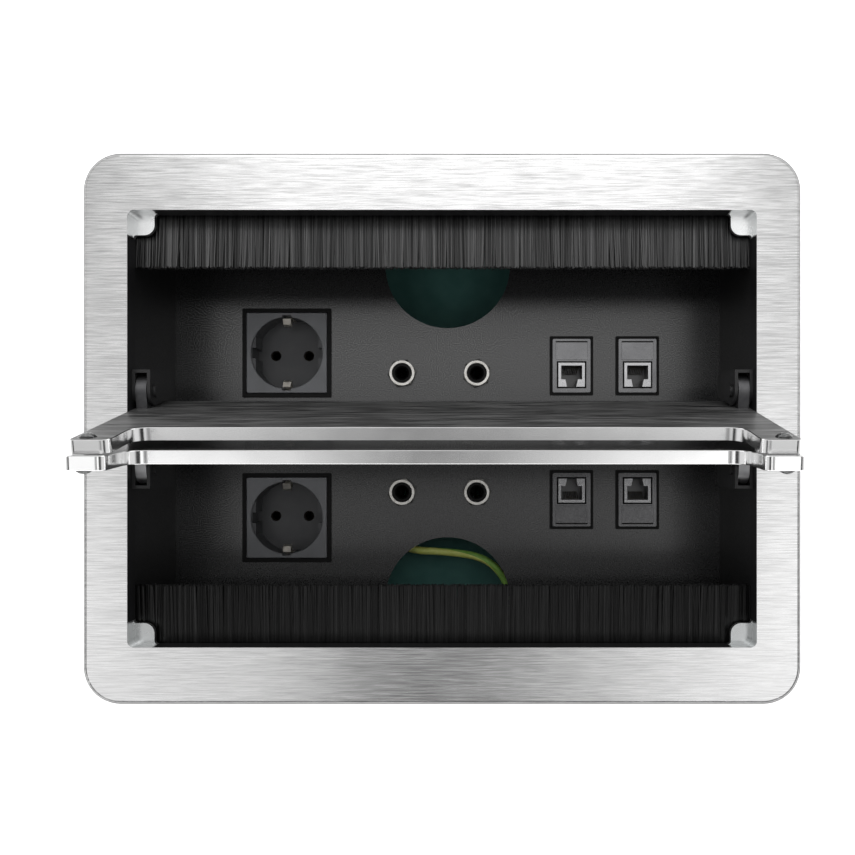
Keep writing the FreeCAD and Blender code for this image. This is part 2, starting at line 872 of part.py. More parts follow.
def hinge_bracket():
    """Folded channel at the far right: two cheeks round the arm, joined by a web behind the eye."""
    nose = pivot_drop - stop_gap
    web_outer = pivot_offset + arm_width / 2 + bracket_eye_gap + bracket_gauge
    low = pivot_z - bracket_drop
    contact = math.radians(90 + far_open_angle)
    middle = math.radians(90 + far_open_angle / 2)
    contact_y = pivot_offset + nose * math.cos(contact)
    contact_z = pivot_z + nose * math.sin(contact)
    stop_foot_y = contact_y + (contact_z - low) * math.tan(math.radians(far_open_angle - 90))
    cheek_wire = outline(
        (web_outer, pivot_z + nose),
        (pivot_offset, pivot_z + nose),
        (
            (pivot_offset + nose * math.cos(middle), pivot_z + nose * math.sin(middle)),
            (contact_y, contact_z),
        ),
        (stop_foot_y, low),
        (web_outer, low),
    )
    outer = along_x(prism(cheek_wire, bracket_outer - bracket_gauge, bracket_outer))
    inner = along_x(prism(cheek_wire, bracket_inner, bracket_inner + bracket_gauge))
    web = bar(
        (bracket_inner, bracket_outer), (web_outer - bracket_gauge, web_outer), (low, pivot_z + nose)
    )
    bracket = outer.fuse([inner, web])
    seat = rod(
        pin_diameter / 2 + pin_seat_clearance,
        Vector(bracket_inner - overcut, pivot_offset, pivot_z),
        Vector(1, 0, 0),
        bracket_outer - bracket_inner + 2 * overcut,
    )
    bracket = rivet_holes(bracket.cut(seat), bracket_rivet_spots(), rivet_grip_bracket)
    return bracket.removeSplitter()


def hinge_pin():
    """Headed pin at the far right, through both cheeks and the arm."""
    along = Vector(1, 0, 0)
    start = Vector(bracket_inner, pivot_offset, pivot_z)
    shank = rod(pin_diameter / 2, start, along, bracket_outer - bracket_inner)
    head = rod(pin_head_diameter / 2, start - along * pin_head_height, along, pin_head_height)
    return shank.fuse(head).removeSplitter()


def bracket_packer():
    """Plate at the far right, riveted between the bracket and the end wall, which stands further out."""
    web_outer = pivot_offset + arm_width / 2 + bracket_eye_gap + bracket_gauge
    plate = bar(
        (bracket_outer, end_wall_inner),
        (web_outer - packer_width, web_outer),
        (pivot_z - bracket_drop, skirt_bottom - packer_top_gap),
    )
    return rivet_holes(plate, bracket_rivet_spots(), rivet_grip_bracket)


# Brush strips

def brush_holder():
    """Bar on the far wall with a groove along its front for the bristles."""
    front = opening_width / 2 + brush_setback
    half_length = end_wall_inner - holder_end_gap
    holder = bar(
        (-half_length, half_length), (front, long_wall_inner), (skirt_bottom - holder_height, skirt_bottom)
    )
    groove = bar(
        (-half_length - overcut, half_length + overcut),
        (front - overcut, front + bristle_root),
        (bristle_level - bristle_thickness / 2, bristle_level + bristle_thickness / 2),
    )
    holder = holder.cut(groove)
    radius = small_screw_diameter / 2 + screw_thread_clearance
    depth = wall_gauge + brush_screw_engagement + screw_thread_clearance
    for point, direction in brush_screw_spots():
        holder = holder.cut(rod(radius, point, direction, depth))
    return holder


def brush_bristles(reach):
    """Block that the far bristles fill, from the groove to their tips."""
    half_length = end_wall_inner - holder_end_gap
    root = opening_width / 2 + brush_setback + bristle_root
    return bar(
        (-half_length, half_length),
        (opening_width / 2 - reach, root),
        (bristle_level - bristle_thickness / 2, bristle_level + bristle_thickness / 2),
    )


# Clip-in modules. Each is drawn about the Z axis with the panel's top at zero.

def surround(face_length, face_width, border):
    """Frame round a module, with a sleeve through the panel and two hooks under it."""
    inner_length = face_length + 2 * module_gap
    inner_width = face_width + 2 * module_gap
    rim = rounded_slab(
        face_length + 2 * border, face_width + 2 * border, surround_corner_radius, 0, surround_height
    )
    half_width = inner_width / 2 + sleeve_wall
    sleeve = block(inner_length + 2 * sleeve_wall, 2 * half_width, -sleeve_depth, 0)
    hook_top = -panel_gauge - cutout_clearance
    hook_wire = outline(
        (half_width, hook_top),
        (half_width, hook_top - hook_height),
        (half_width + hook_reach, hook_top),
    )
    hook = along_x(prism(hook_wire, -hook_width / 2, hook_width / 2))
    frame = rim.fuse([sleeve, hook, mirror_y(hook)])
    middle = block(inner_length, inner_width, -sleeve_depth - overcut, surround_height + overcut)
    return frame.cut(middle).removeSplitter()


def power_face():
    """Face with a keyed round recess, pin holes in its floor and slots for the earth clip."""
    face = rounded_slab(
        power_face_size, power_face_size, power_face_radius, -power_face_depth, power_face_height
    )
    face = face.makeFillet(power_face_round, edges_at(face, power_face_height))
    cup = Part.makeCylinder(cup_radius, -power_face_depth - cup_bottom, Vector(0, 0, cup_bottom))
    face = face.fuse(cup)
    radius = recess_diameter / 2
    top = power_face_height + overcut
    recess = Part.makeCylinder(radius, top - recess_bottom, Vector(0, 0, recess_bottom))
    recess = recess.common(block(recess_flats, recess_diameter, recess_bottom, top))
    ledge = power_face_height - recess_ledge_depth
    rim = Part.makeCylinder(radius, top - ledge, Vector(0, 0, ledge))
    chamfer = Part.makeCone(
        radius,
        radius + recess_rim_chamfer + overcut,
        recess_rim_chamfer + overcut,
        Vector(0, 0, power_face_height - recess_rim_chamfer),
    )
    notch = block(recess_diameter - 2 * guide_notch_reach, guide_notch_width, recess_bottom, top)
    face = face.cut([recess, rim, chamfer, notch])
    for step in (-0.5, 0.5):
        start = Vector(step * pin_pitch, 0, cup_bottom - overcut)
        face = face.cut(rod(pin_hole_diameter / 2, start, up, recess_floor + 2 * overcut))
    slot_outer = radius + clip_gauge + clip_slot_clearance
    slot = bar(
        (-clip_width / 2 - clip_slot_clearance, clip_width / 2 + clip_slot_clearance),
        (radius - clip_slot_clearance, slot_outer),
        (cup_bottom - overcut, top),
    )
    return face.cut([slot, mirror_y(slot)]).removeSplitter()


def power_earth_clip():
    """One strip under the recess, bent up at both ends into sprung earth contacts."""
    wall = recess_diameter / 2 + clip_gauge / 2
    top = power_face_height
    half = tuple((wall - share * clip_bulge, top - depth) for share, depth in clip_profile)
    half += ((wall, cup_bottom - clip_gauge / 2),)
    other = tuple((-y, z) for y, z in reversed(half))
    return strip(half + other, clip_gauge, clip_width)


def power_contact():
    """Contact sleeve for one pin, on a terminal block that stands on the housing's floor."""
    floor = -housing_depth + housing_floor
    sleeve = Part.makeCylinder(contact_bore / 2 + contact_wall, cup_bottom - floor, Vector(0, 0, floor))
    terminal = block(contact_terminal_size, contact_terminal_size, floor, floor + contact_terminal_height)
    bore_low = floor + contact_bore_end
    bore = Part.makeCylinder(contact_bore / 2, cup_bottom - bore_low + overcut, Vector(0, 0, bore_low))
    return sleeve.fuse(terminal).cut(bore).removeSplitter()


def power_contacts():
    contacts = []
    for step in (-0.5, 0.5):
        contact = power_contact()
        contact.translate(Vector(step * pin_pitch, 0, 0))
        contacts.append(contact)
    return contacts


def power_housing():
    """Rear cover round the recess and the contacts, with a wire entry at each side."""
    outside = housing_inside + 2 * housing_wall
    shell = block(outside, outside, -housing_depth, -power_face_depth)
    shell = shell.cut(block(housing_inside, housing_inside, -housing_depth + housing_floor, 0))
    entry = rod(
        wire_diameter / 2 + wire_entry_clearance,
        Vector(-outside, 0, -wire_entry_drop),
        Vector(1, 0, 0),
        2 * outside,
    )
    return shell.cut(entry)


def jack_body():
    """Jack body under the panel with a bushing through it, and a slot at each side for a spring."""
    bushing = Part.makeCylinder(
        bushing_diameter / 2, bushing_height + panel_gauge, Vector(0, 0, -panel_gauge)
    )
    body = block(jack_length, jack_width, jack_underside, -panel_gauge).fuse(bushing)
    bore = Part.makeCylinder(jack_bore / 2, jack_bore_depth, Vector(0, 0, bushing_height - jack_bore_depth))
    lead_in = Part.makeCone(
        jack_bore / 2,
        jack_bore / 2 + jack_lead_in,
        jack_lead_in,
        Vector(0, 0, bushing_height - jack_lead_in),
    )
    slot_width = spring_width + 2 * spring_slot_clearance
    slots = []
    for sign, level in zip((1, -1), spring_levels):
        outer = spring_offset + spring_gauge / 2 + spring_slot_clearance
        slot_top = -level + spring_lead_height + spring_gauge + spring_slot_clearance
        span = (jack_underside - overcut, slot_top)
        slots.append(bar((-slot_width / 2, slot_width / 2), (0, sign * outer), span))
    return body.cut([bore, lead_in] + slots).removeSplitter()


def jack_springs():
    """Two bent springs that touch a plug in the bore, with their tails out of the body's underside."""
    springs = []
    for sign, level in zip((1, -1), spring_levels):
        points = (
            (sign * spring_offset, jack_underside - spring_tail),
            (sign * spring_offset, -level - spring_bend_height),
            (sign * spring_reach, -level),
            (sign * (spring_reach + spring_lead_reach), -level + spring_lead_height),
        )
        springs.append(strip(points, spring_gauge, spring_width))
    return springs


def jack_nut(turn):
    """Hexagon nut with a chamfered top."""
    nut = hexagon(nut_across_flats, 0, nut_height)
    corner = nut_across_flats / math.sqrt(3)
    chamfer_low = nut_height - nut_chamfer_height
    envelope = Part.makeCylinder(corner, chamfer_low).fuse(
        Part.makeCone(corner, nut_chamfer_radius, nut_chamfer_height, Vector(0, 0, chamfer_low))
    )
    radius = bushing_diameter / 2 + screw_thread_clearance
    nut = nut.common(envelope).cut(thread_hole(radius, nut_height))
    nut.rotate(Vector(0, 0, 0), up, turn)
    return nut.removeSplitter()


def data_plate():
    """Adapter plate with a grooved window for the jack and a shallow pocket for the label cover."""
    plate = rounded_slab(
        data_plate_length, data_plate_width, data_plate_radius, -data_plate_depth, data_plate_height
    )
    window = block(
        data_jack_length + 2 * data_jack_clearance,
        data_jack_width + 2 * data_jack_clearance,
        -data_plate_depth - overcut,
        data_plate_height + overcut,
        y=data_jack_offset,
    )
    groove = block(
        data_jack_length + 2 * window_groove_width,
        data_jack_width + 2 * window_groove_width,
        data_plate_height - window_groove_depth,
        data_plate_height + overcut,
        y=data_jack_offset,
    )
    pocket = block(
        label_length + 2 * data_jack_clearance,
        label_width + 2 * data_jack_clearance + label_notch,
        data_plate_height - label_pocket,
        data_plate_height + overcut,
        y=label_offset + label_notch / 2,
    )
    return plate.cut([window, groove, pocket])


def data_label_cover():
    """Blank cover over the label pocket."""
    low = data_plate_height - label_pocket
    return block(label_length, label_width, low, low + label_height, y=label_offset)


def data_jack():
    """Eight-pole jack: a port with a tapered latch notch towards the middle of the box."""
    top = data_plate_height + data_jack_proud
    front = block(data_jack_length, data_jack_width, -data_jack_front_depth, top)
    rear = block(
        data_jack_length - 2 * data_jack_inset,
        data_jack_width - 2 * data_jack_inset,
        -data_jack_depth,
        -data_jack_front_depth,
    )
    port_high = data_jack_width / 2 - port_top_wall
    port_low = port_high - port_width
    depth = (top - port_depth, top + overcut)
    port = bar((-port_length / 2, port_length / 2), (port_low, port_high), depth)
    latch_wire = outline(
        (-latch_length / 2, port_high),
        (-latch_length / 2, port_low),
        (-latch_tip_length / 2, -data_jack_width / 2 - overcut),
        (latch_tip_length / 2, -data_jack_width / 2 - overcut),
        (latch_length / 2, port_low),
        (latch_length / 2, port_high),
    )
    latch = prism(latch_wire, *depth)
    jack = front.fuse(rear).cut([port, latch]).removeSplitter()
    jack.translate(Vector(0, data_jack_offset, 0))
    return jack


def data_contacts():
    """Contact wires that slant across the port."""
    high = data_jack_offset + data_jack_width / 2 - port_top_wall - contact_wall_gap - contact_diameter
    top = data_plate_height + data_jack_proud
    wires = []
    for index in range(contact_count):
        x = (index - (contact_count - 1) / 2) * contact_pitch
        start = Vector(x, high, top - contact_front)
        end = Vector(x, high - contact_slant, top - contact_back)
        wires.append(rod(contact_diameter / 2, start, end - start, (end - start).Length))
    return wires


# Earth wire

def rounded_path(points):
    """Straight runs joined by tangent arcs, each as large as its two runs allow."""
    edges = []
    here = points[0]
    for before, corner, after in zip(points, points[1:], points[2:]):
        inward = (corner - before).normalize()
        outward = (after - corner).normalize()
        trim = wire_bend_share * min((corner - before).Length, (after - corner).Length)
        half_turn = inward.getAngle(outward) / 2
        radius = trim / math.tan(half_turn)
        start = corner - inward * trim
        end = corner + outward * trim
        middle = corner + (outward - inward).normalize() * radius * (1 / math.cos(half_turn) - 1)
        edges.append(Part.LineSegment(here, start).toShape())
        edges.append(Part.Arc(start, middle, end).toShape())
        here = end
    edges.append(Part.LineSegment(here, points[-1]).toShape())
    return Part.Wire(edges)


def earth_wire():
    """Wire from the near mains socket, across the near cable cut-out, to the terminal."""
    routes = (
        (Vector(power_x, -near_power_y, panel_top - wire_entry_drop), wire_from_socket),
        (Vector(0, 0, panel_top), wire_across),
        (Vector(earth_x, -long_wall_inner + barrel_radius, earth_level), wire_to_terminal),
    )
    points = [start + Vector(*step) for start, steps in routes for step in steps]
    path = rounded_path(points)
    section = Part.Wire(Part.makeCircle(wire_diameter / 2, points[0], points[1] - points[0]))
    return path.makePipeShell([section], True, False)


def earth_terminal():
    """Ring terminal on the near wall, with its barrel along the wall towards the wire."""
    face = -long_wall_inner
    centre = Vector(earth_x, face, earth_level)
    ring = rod(terminal_ring_diameter / 2, centre, Vector(0, 1, 0), terminal_gauge)
    barrel_start = Vector(earth_x - terminal_reach, face + barrel_radius, earth_level)
    barrel = rod(barrel_radius, barrel_start, Vector(1, 0, 0), barrel_length)
    neck = bar(
        (earth_x - terminal_reach + barrel_length - overcut, earth_x),
        (face, face + terminal_gauge),
        (earth_level - barrel_radius, earth_level + barrel_radius),
    )
    along = Vector(1, 0, 0)
    inward = Vector(0, 1, 0)
    bore = rod(
        barrel_radius - barrel_wall, barrel_start - along * overcut, along, barrel_length + 2 * overcut
    )
    hole = rod(
        stud_diameter / 2 + stud_clearance, centre - inward * overcut, inward, terminal_gauge + 2 * overcut
    )
    return ring.fuse([barrel, neck]).cut([bore, hole]).removeSplitter()


def earth_stud():
    """Stud through the near wall, its head outside."""
    start = Vector(earth_x, -long_wall_outer, earth_level)
    shank = rod(stud_diameter / 2, start, Vector(0, 1, 0), wall_gauge + stud_length)
    head = rod(stud_head_diameter / 2, start, Vector(0, -1, 0), stud_head_height)
    return shank.fuse(head).removeSplitter()


def earth_nut():
    """Nut that clamps the ring terminal to the near wall."""
    nut = hexagon(earth_nut_flats, 0, earth_nut_height)
    radius = stud_diameter / 2 + screw_thread_clearance
    nut = nut.cut(thread_hole(radius, earth_nut_height))
    point = Vector(earth_x, -long_wall_inner + terminal_gauge, earth_level)
    return aim(nut, point, Vector(0, 1, 0))


# Write the nodes

os.makedirs("parts", exist_ok=True)

save("bezel_frame", bezel_frame())
save("socket_panel", socket_panel())
save("blind_rivets", blind_rivets())
save("frame_screws", frame_screws())
save("brush_screws", brush_screws())
for end in ends:
    save(f"end_wall_{end}", end_wall(end))
for side in sides:
    save(f"long_wall_{side}", long_wall(side))

closed_lid = lid()
closed_arm = hinge_arm()
closed_screw = arm_screw()
closed_bumper = lid_bumper()
bracket = hinge_bracket()
pin = hinge_pin()
packer = bracket_packer()
for side in sides:
    save(f"lid_{side}", opened(closed_lid, side))
    pairs = ((closed_screw, f"arm_screws_{side}"), (closed_bumper, f"lid_bumpers_{side}"))
    for shape, name in pairs:
        save(name, [opened(to_corner(shape, end, "far"), side) for end in ends])
    for end in ends:
        save(f"hinge_arm_{side}_{end}", opened(to_corner(closed_arm, end, "far"), side))
        save(f"hinge_bracket_{side}_{end}", to_corner(bracket, end, side))
for name, shape in (("hinge_pins", pin), ("bracket_packers", packer)):
    save(name, [to_corner(shape, end, side) for side in sides for end in ends])

reaches = {"far": far_bristle_reach, "near": near_bristle_reach}
for side in sides:
    save(f"brush_holder_{side}", to_corner(brush_holder(), "right", side))
    save(f"brush_bristles_{side}", to_corner(brush_bristles(reaches[side]), "right", side))

power_pieces = {
    "surround": surround(power_face_size, power_face_size, power_border),
    "face": power_face(),
    "earth_clip": power_earth_clip(),
    "contacts": Part.makeCompound(power_contacts()),
    "housing": power_housing(),
}
for name, shape in power_pieces.items():
    for side in sides:
        save(f"power_{name}_{side}", on_panel(shape, power_x, power_rows[side], side))

jack_places = [(side, end, x) for side in sides for end, x in zip(ends, jack_columns)]
for side, end, x in jack_places:
    save(f"jack_body_{side}_{end}", on_panel(jack_body(), x, jack_y, side))
nuts = []
springs = []
for (side, end, x), turn in zip(jack_places, nut_turns):
    nuts.append(on_panel(jack_nut(turn), x, jack_y, side))
    springs += [on_panel(spring, x, jack_y, side) for spring in jack_springs()]
save("jack_nuts", nuts)
save("jack_springs", springs)

data_surround = surround(data_plate_length, data_plate_width, data_border)
surrounds = []
covers = []
wires = []
for side in sides:
    for end, x in zip(ends, data_columns):
        save(f"data_plate_{side}_{end}", on_panel(data_plate(), x, data_y, side))
        save(f"data_jack_{side}_{end}", on_panel(data_jack(), x, data_y, side))
        surrounds.append(on_panel(data_surround, x, data_y, side))
        covers.append(on_panel(data_label_cover(), x, data_y, side))
        wires += [on_panel(wire, x, data_y, side) for wire in data_contacts()]
save("data_surrounds", surrounds)
save("data_label_covers", covers)
save("data_contacts", wires)

save("earth_wire", earth_wire())
save("earth_terminal", earth_terminal())
save("earth_stud", earth_stud())
save("earth_nut", earth_nut())
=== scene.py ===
import json
import math
import random

import bpy
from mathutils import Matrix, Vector


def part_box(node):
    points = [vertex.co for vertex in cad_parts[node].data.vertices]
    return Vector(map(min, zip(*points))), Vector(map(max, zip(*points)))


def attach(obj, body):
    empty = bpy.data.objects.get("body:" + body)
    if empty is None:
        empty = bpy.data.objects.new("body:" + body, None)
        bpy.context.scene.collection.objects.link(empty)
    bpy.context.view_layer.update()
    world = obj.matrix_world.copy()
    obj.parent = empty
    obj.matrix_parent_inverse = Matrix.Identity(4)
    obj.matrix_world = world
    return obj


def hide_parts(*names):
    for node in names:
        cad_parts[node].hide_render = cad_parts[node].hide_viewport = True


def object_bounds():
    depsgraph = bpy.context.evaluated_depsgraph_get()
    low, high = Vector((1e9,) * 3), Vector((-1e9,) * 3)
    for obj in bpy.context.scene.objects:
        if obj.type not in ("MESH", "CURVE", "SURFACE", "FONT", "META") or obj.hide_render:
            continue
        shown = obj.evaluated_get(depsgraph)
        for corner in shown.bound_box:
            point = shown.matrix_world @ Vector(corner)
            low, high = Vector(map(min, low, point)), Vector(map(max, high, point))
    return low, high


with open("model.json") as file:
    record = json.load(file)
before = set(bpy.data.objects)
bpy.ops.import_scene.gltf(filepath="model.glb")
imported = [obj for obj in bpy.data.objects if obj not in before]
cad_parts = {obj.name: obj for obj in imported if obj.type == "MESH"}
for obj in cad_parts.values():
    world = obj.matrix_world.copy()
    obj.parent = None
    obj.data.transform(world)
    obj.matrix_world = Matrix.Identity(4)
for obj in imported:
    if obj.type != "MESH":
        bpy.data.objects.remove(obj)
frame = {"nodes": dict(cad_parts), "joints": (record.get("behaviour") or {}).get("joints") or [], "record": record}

# Desk socket box. Metres, in the frame of the solids.
cad_low, cad_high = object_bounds()
nodes = frame["nodes"]
sides = {"far": 1, "near": -1}
ends = ("left", "right")

# Camera, as fitted to the photograph: its place, its focal length and the plumb point in pixels
camera_place = (0.01835, -0.01308, 0.4667)
picture_side = 855
focal_pixels = 964.7
plumb_pixel = (480.25, 455.97)
sensor_width = 36.0
clip_start = 0.01

# Light: a white dome with softboxes and dark flags. Each has a strength, and values that run with the X and
# the Y of a direction. Below a height, the Z of a direction, the dome passes into a plain pale surround.
surround = 0.75
surround_height = (0.5, 0.68)
sky_strength = 1.5
sky_limit = 2.0
sky_along_x = ((-1.0, 0.6), (-0.6, 0.8), (-0.38, 0.8), (0.0, 0.84), (0.3, 0.95), (0.6, 0.9), (1.0, 0.6))
sky_along_y = (
    (-0.6, 0.03), (-0.5, 0.12), (-0.42, 0.36), (-0.26, 1.0), (-0.18, 1.0),
    (-0.1, 0.92), (0.05, 0.7), (0.3, 0.4), (1.0, 0.42),
)
far_softbox = (
    1.25,
    ((-0.39, 0.0), (-0.3, 0.6), (-0.2, 1.0), (0.18, 1.0), (0.26, 0.5), (0.34, 0.0)),
    ((0.08, 0.0), (0.28, 0.1), (0.42, 1.0), (0.75, 1.0), (0.95, 0.0)),
)
top_softbox = (
    0.55,
    ((-0.3, 0.0), (-0.22, 1.0), (0.2, 1.0), (0.27, 0.0)),
    ((0.02, 0.0), (0.07, 1.0), (0.16, 1.0), (0.22, 0.0)),
)
near_flag = (
    0.81,
    (
        (-0.25, 0.0), (-0.18, 0.35), (-0.11, 0.9), (-0.06, 1.0),
        (0.0, 0.9), (0.07, 0.6), (0.14, 0.3), (0.22, 0.0),
    ),
    ((-0.6, 0.3), (-0.4, 0.55), (-0.28, 1.0), (-0.2, 1.0), (-0.1, 0.8), (-0.02, 0.0)),
)
top_flag = (
    0.96,
    ((-0.36, 0.0), (-0.3, 1.0), (0.24, 1.0), (0.28, 0.0)),
    ((-0.18, 0.0), (-0.1, 0.8), (-0.05, 1.0), (0.01, 1.0), (0.06, 0.0)),
)
side_flags = (
    0.97,
    ((-0.52, 1.0), (-0.44, 0.0), (0.36, 0.0), (0.46, 1.0)),
    ((-0.05, 1.0), (0.1, 0.0)),
)

# Floor under the box, and the dark mat on it that shows through the cut-outs
floor_half = 4.0
floor_glow = 0.8
mat_thickness = 0.0005

# Bezel: its opening, the lugs in the corners of the opening, and how far from it the outer edge is looked for
opening = (0.302, 0.210)
lug_reach = 0.0118
edge_distance = 0.012
# Width of the soft edge where the painted shade on the opening walls gives way to bare metal at the lugs
painted_shade_blur = 0.0002
opening_slack = 0.0005

# Margins and depths that tell the recess of a mains socket, and what is sunk into a data plate or jack
recess_radius = 0.0205
recess_lip = 0.0006
plate_rim = 0.001
plate_lip = 0.0001
port_wall = 0.0006
port_depth = 0.014

# Slopes of faces, as the cosine of the angle between a normal and an axis
flat_cosine = 0.95
lid_edge_cosine = 0.9
bezel_edge_cosines = (-0.5, 0.85)
upright_cosine = 0.5

# Bristles
bristle_width = 0.00044
bristle_spacing = 0.00042
bristle_spacing_range = (0.8, 1.2)
bristle_layers = 5
bristle_rings = 4
bristle_sides = 3
bristle_taper = 0.25
bristle_trim = 0.0005
bristle_splay = 1.6
bristle_bend = 1.5
bristle_roll = 0.2
# Painted shade: the near brush's bristle tones and gloss are scaled down against the far brush's
bristle_painted_shade = {"far": 1.0, "near": 0.28}
tuft_spacing = (0.0008, 0.0026)
tuft_pull = (0.05, 0.45)
tuft_lean = 0.0006
tuft_tone_share = 0.3
stray_share = 0.012
stray_lean = 0.004

# Earth wire: the route of its solid, and its stripes
wire_diameter = 0.0043
wire_sides = 24
wire_stripe_sides = 7
wire_turns_per_metre = 9.0
wire_order = 3
wire_steps = 12
wire_route = (
    (-0.0720, -0.0478, -0.1000),
    (-0.0580, -0.0478, -0.1000),
    (-0.0420, -0.0575, -0.0955),
    (-0.0240, -0.0675, -0.0900),
    (0.0010, -0.0680, -0.0870),
    (0.0220, -0.0715, -0.0870),
    (0.0332, -0.0840, -0.0890),
    (0.0365, -0.0995, -0.0925),
    (0.0425, -0.11095, -0.0950),
    (0.0550, -0.11095, -0.0950),
)


# Materials

def finish(name, **sockets):
    """New Principled material with plain values on its sockets, their names in words."""
    made = bpy.data.materials.new(name)
    made.use_nodes = True
    for words, value in sockets.items():
        shader_input(made, words).default_value = value
    return made


def shader_input(made, words):
    names = {"ior": "IOR", "specular_ior_level": "Specular IOR Level"}
    name = names.get(words, words.replace("_", " ").title())
    return made.node_tree.nodes["Principled BSDF"].inputs[name]


def add(made, kind, **inputs):
    """New node with values or links on its inputs, their names in words."""
    node = made.node_tree.nodes.new("ShaderNode" + kind)
    for words, value in inputs.items():
        socket = node.inputs[words.replace("_", " ").title()]
        if isinstance(value, bpy.types.NodeSocket):
            made.node_tree.links.new(value, socket)
        else:
            socket.default_value = value
    return node


def drive(made, words, value):
    """Link a socket of the shader."""
    made.node_tree.links.new(value, shader_input(made, words))


def grain(made, cells, detail=2.0, roughness=0.5):
    """Noise in a piece's own coordinates, with so many cells per metre, or so many along each axis."""
    place = add(made, "TexCoord").outputs["Object"]
    cells = (cells,) * 3 if isinstance(cells, (int, float)) else cells
    stretched = add(made, "Mapping", vector=place, scale=cells).outputs["Vector"]
    noise = add(made, "TexNoise", vector=stretched, scale=1.0, detail=detail, roughness=roughness)
    return noise.outputs["Fac"]


def between(made, value, low, high, start=0.3, end=0.7):
    """Number that runs from low to high as a value does from start to end, the middle of a noise."""
    node = add(made, "MapRange", value=value, from_min=start, from_max=end, to_min=low, to_max=high)
    return node.outputs["Result"]


def shade(made, value, dark, light, start=0.3, end=0.7):
    """Colour that runs from dark to light as a value does from start to end, the middle of a noise."""
    node = add(made, "ValToRGB")
    made.node_tree.links.new(value, node.inputs["Fac"])
    for element, place, colour in zip(node.color_ramp.elements, (start, end), (dark, light)):
        element.position = place
        element.color = (*colour, 1.0)
    return node.outputs["Color"]


def blend(made, first, second, share):
    """Mean of two numbers, with this share of the second."""
    node = made.node_tree.nodes.new("ShaderNodeMix")
    node.inputs["Factor"].default_value = share
    made.node_tree.links.new(first, node.inputs["A"])
    made.node_tree.links.new(second, node.inputs["B"])
    return node.outputs["Result"]


def combine(made, operation, first, second):
    """Sum or product of two numbers."""
    node = made.node_tree.nodes.new("ShaderNodeMath")
    node.operation = operation
    made.node_tree.links.new(first, node.inputs[0])
    made.node_tree.links.new(second, node.inputs[1])
    return node.outputs["Value"]


def bump(made, height, strength, distance):
    node = add(made, "Bump", height=height, strength=strength, distance=distance)
    drive(made, "normal", node.outputs["Normal"])


def brushed_aluminium(name, dark, light, rough, cells=(60, 1500)):
    """Short lines brushed along X, with faint clouds among them and a stretched gloss across them."""
    made = finish(name, metallic=1.0, anisotropic=0.8, anisotropic_rotation=0.25)
    along, across = cells
    lines = grain(made, cells=(along, across, across), detail=4.0, roughness=0.62)
    clouds = grain(made, cells=(22, 260, 260))
    streaks = blend(made, lines, clouds, share=0.2)
    drive(made, "base_color", shade(made, streaks, (dark,) * 3, (light,) * 3, start=0.36, end=0.62))
    drive(made, "roughness", between(made, streaks, low=rough - 0.05, high=rough + 0.05))
    drive(made, "tangent", add(made, "CombineXYZ", x=1.0, y=0.0, z=0.0).outputs["Vector"])
    bump(made, lines, strength=0.14, distance=0.00002)
    return made


def blasted_aluminium(name, dark, light):
    """Even fine pits, with slow changes of shade."""
    made = finish(name, metallic=1.0)
    pits = grain(made, cells=4200)
    drive(made, "base_color", shade(made, grain(made, cells=160), dark, light))
    drive(made, "roughness", between(made, pits, low=0.42, high=0.58))
    bump(made, pits, strength=0.3, distance=0.00003)
    return made


def coated_steel(name, dark, light, rough, ior=1.5):
    """Powder coat: a fine orange peel with specks, and slow changes of shade."""
    made = finish(name, ior=ior)
    peel = grain(made, cells=1500, detail=3.0, roughness=0.55)
    specks = grain(made, cells=5200, detail=1.0)
    clouds = grain(made, cells=26)
    drive(made, "base_color", shade(made, blend(made, clouds, specks, share=0.45), dark, light))
    drive(made, "roughness", between(made, peel, low=rough - 0.06, high=rough + 0.06))
    bump(made, blend(made, peel, specks, share=0.3), strength=0.06, distance=0.00004)
    return made


def opening_painted_shade():
    """Painted shade: black on the walls of the opening, for their shadow, that stops at the lugs, where the wall
    is milled bright.
    """
    made = finish("opening_painted_shade")
    place = add(made, "VectorMath", vector=add(made, "TexCoord").outputs["Object"])
    place.operation = "ABSOLUTE"
    split = add(made, "SeparateXYZ", vector=place.outputs["Vector"])
    beyond = []
    for axis, size in zip("XY", opening):
        bound = size / 2 - lug_reach
        beyond.append(between(made, split.outputs[axis], 0.0, 1.0, bound - painted_shade_blur, bound + painted_shade_blur))
    bare = combine(made, "MULTIPLY", *beyond)
    marks = grain(made, cells=1500, detail=3.0)
    drive(made, "base_color", shade(made, bare, dark=(0.012, 0.012, 0.013), light=(0.7, 0.71, 0.71)))
    drive(made, "metallic", bare)
    wear = blend(made, bare, marks, share=0.2)
    drive(made, "roughness", between(made, wear, low=0.44, high=0.28, start=0.0, end=1.0))
    return made


def bright_metal(name, dark, light, rough, cells):
    """Plated or milled metal with faint cloudiness and fine tool marks."""
    marks_per_cloud = 14
    made = finish(name, metallic=1.0)
    clouds = grain(made, cells, detail=3.0)
    marks = grain(made, cells * marks_per_cloud, detail=1.0)
    drive(made, "base_color", shade(made, clouds, dark, light))
    drive(made, "roughness", between(made, clouds, low=rough * 0.8, high=rough * 1.25))
    bump(made, marks, strength=0.12, distance=0.00002)
    return made


def moulded_plastic(name, dark, light, rough, ior=1.45, metallic=0.0):
    """Satin moulding with a fine spark-eroded texture, plain or in a metal effect."""
    made = finish(name, ior=ior, metallic=metallic)
    skin = grain(made, cells=2600, roughness=0.6)
    clouds = grain(made, cells=90)
    drive(made, "base_color", shade(made, blend(made, clouds, skin, share=0.4), dark, light))
    drive(made, "roughness", between(made, skin, low=rough - 0.07, high=rough + 0.07))
    bump(made, skin, strength=0.12, distance=0.00003)
    return made


